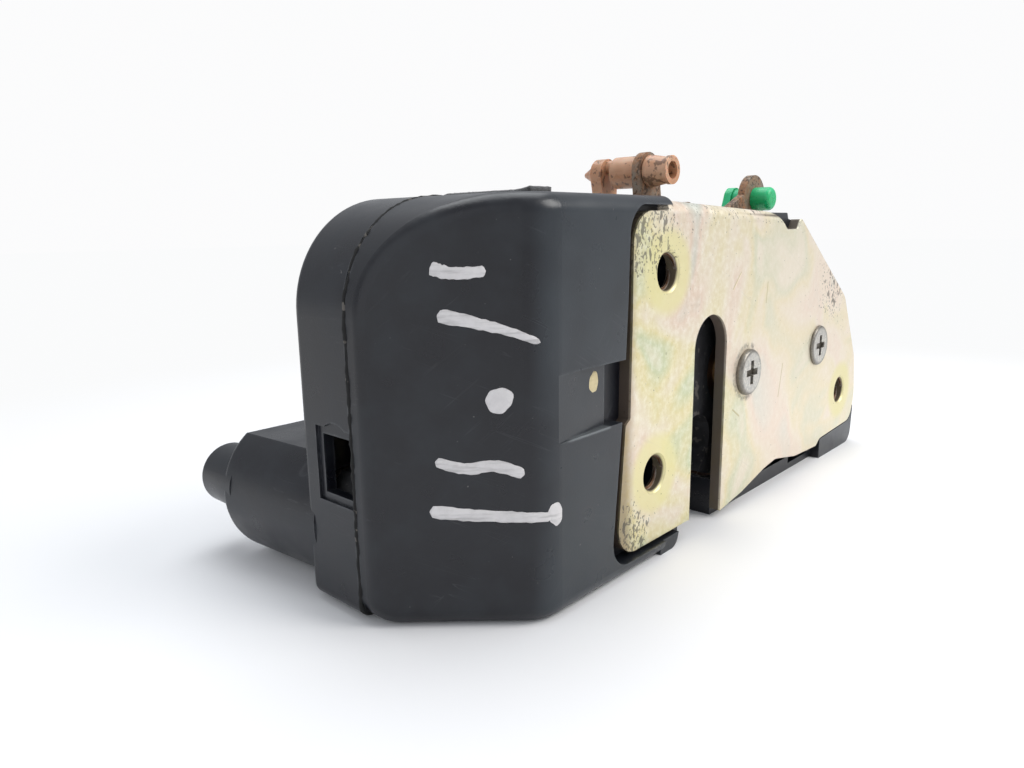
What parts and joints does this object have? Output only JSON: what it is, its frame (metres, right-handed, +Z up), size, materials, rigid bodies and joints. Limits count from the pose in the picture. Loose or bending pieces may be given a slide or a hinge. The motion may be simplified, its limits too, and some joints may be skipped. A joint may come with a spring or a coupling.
{
  "type": "door latch actuator",
  "caption": "Vehicle door latch with a slotted steel face plate, rotating fork and pawl, two rod levers and a motor-driven lock in a black plastic housing.",
  "frame": {"origin": "seat of the door striker: centre of the slot's round end, on the outer face of the face plate", "axes": "+X out of the face plate towards the striker, +Y along the plate away from the actuator box, +Z up; the slot opens downwards"},
  "size_m": [0.0713, 0.1598, 0.0763],
  "materials": {
    "housing_plastic": "satin",
    "gasket_rubber": "matt",
    "bumper_rubber": "matt",
    "plate_zinc": "yellow passivated zinc, worn",
    "inner_zinc": "yellow passivated zinc",
    "screw_steel": "gray zinc",
    "fork_steel": "hardened, oiled",
    "fork_nylon": "gray, matt",
    "rusty_steel": "light rust",
    "spring_steel": "bright",
    "tan_nylon": "satin",
    "green_nylon": "satin",
    "gear_acetal": "satin",
    "motor_steel": "plated",
    "bell_plastic": "matt",
    "bronze": "satin",
    "magnet_ferrite": "matt",
    "copper_wire": "enamelled",
    "strip_brass": "plain",
    "black_felt": "felt"
  },
  "bodies": {
    "housing": {"front_housing": "housing_plastic", "rear_cover": "housing_plastic", "cover_gasket": "gasket_rubber", "face_plate": "plate_zinc", "back_plate": "inner_zinc", "fork_pivot_screw": "screw_steel", "pawl_pivot_screw": "screw_steel", "pivot_nuts": "inner_zinc", "fork_bush": "bronze", "fork_washer": "inner_zinc", "lever_pivot_stud": "rusty_steel", "lever_washers": "inner_zinc", "cover_screws": "screw_steel", "frame_screws": "screw_steel", "gear_axle": "spring_steel", "sector_axle": "spring_steel", "striker_bumper": "bumper_rubber", "felt_pad": "black_felt", "motor_can": "motor_steel", "motor_end_bell": "bell_plastic", "motor_bushes": "bronze", "motor_magnets": "magnet_ferrite", "contact_strips": "strip_brass", "fork_spring": "spring_steel", "pawl_spring": "spring_steel"},
    "fork": {"fork_bolt": "fork_steel", "fork_coating": "fork_nylon"},
    "pawl": {"pawl": "fork_steel", "pawl_lifter": "inner_zinc"},
    "release_lever": {"release_lever": "rusty_steel"},
    "release_clip": {"release_rod_clip": "tan_nylon"},
    "lock_lever": {"lock_lever": "rusty_steel"},
    "lock_clip": {"lock_rod_clip": "green_nylon"},
    "lock_link": {"lock_link": "inner_zinc"},
    "sector": {"sector_gear": "gear_acetal"},
    "reduction": {"reduction_gear": "gear_acetal"},
    "rotor": {"motor_pinion": "bronze", "motor_shaft": "spring_steel", "armature": "fork_steel", "armature_winding": "copper_wire", "commutator": "copper_wire"}
  },
  "joints": [
    {"name": "fork_turn", "type": "hinge", "parent": "housing", "child": "fork", "pos_m": [-0.008, 0.0163, -0.0073], "axis": [1, 0, 0], "range_deg": [-75, 0], "stiffness_Nm_per_rad": 0.02, "springref_deg": 28.65, "deforming": ["fork_spring"]},
    {"name": "release_turn", "type": "hinge", "parent": "housing", "child": "release_lever", "pos_m": [-0.0162, 0.0215, 0.017], "axis": [1, 0, 0], "range_deg": [-20, 0], "stiffness_Nm_per_rad": 0.02, "springref_deg": 17.19},
    {"name": "pawl_turn", "type": "hinge", "parent": "housing", "child": "pawl", "pos_m": [-0.008, 0.0563, -0.0064], "axis": [1, 0, 0], "range_deg": [0, 10], "deforming": ["pawl_spring"]},
    {"name": "lock_turn", "type": "hinge", "parent": "housing", "child": "lock_lever", "pos_m": [-0.0184, 0.0215, 0.017], "axis": [1, 0, 0], "range_deg": [0, 22]},
    {"name": "sector_turn", "type": "hinge", "parent": "housing", "child": "sector", "pos_m": [-0.0236, -0.03454, 0.00843], "axis": [1, 0, 0], "range_deg": [0, 22]},
    {"name": "link_turn", "type": "hinge", "parent": "sector", "child": "lock_link", "pos_m": [-0.0204, -0.03611, 0.01729], "axis": [1, 0, 0], "range_deg": [-22, 0]},
    {"name": "gear_turn", "type": "hinge", "parent": "housing", "child": "reduction", "pos_m": [-0.019, -0.0492, -0.00904], "axis": [1, 0, 0], "range_deg": [-82.5, 0]},
    {"name": "rotor_turn", "type": "hinge", "parent": "housing", "child": "rotor", "pos_m": [-0.04, -0.0583, -0.0248], "axis": [1, 0, 0], "range_deg": [0, 275]},
    {"name": "release_clip_turn", "type": "hinge", "parent": "release_lever", "child": "release_clip", "pos_m": [-0.0162, 0.0001, 0.0347], "axis": [1, 0, 0], "range_deg": [-60, 60]},
    {"name": "lock_clip_turn", "type": "hinge", "parent": "lock_lever", "child": "lock_clip", "pos_m": [-0.0184, 0.0536, 0.0302], "axis": [1, 0, 0], "range_deg": [-60, 60]}
  ],
  "couplings": [
    {"joint": "pawl_turn", "follows": "release_turn", "ratio": -0.5},
    {"joint": "sector_turn", "follows": "lock_turn", "ratio": 1},
    {"joint": "link_turn", "follows": "lock_turn", "ratio": -1},
    {"joint": "gear_turn", "follows": "lock_turn", "ratio": -3.75},
    {"joint": "rotor_turn", "follows": "lock_turn", "ratio": 12.5}
  ]
}
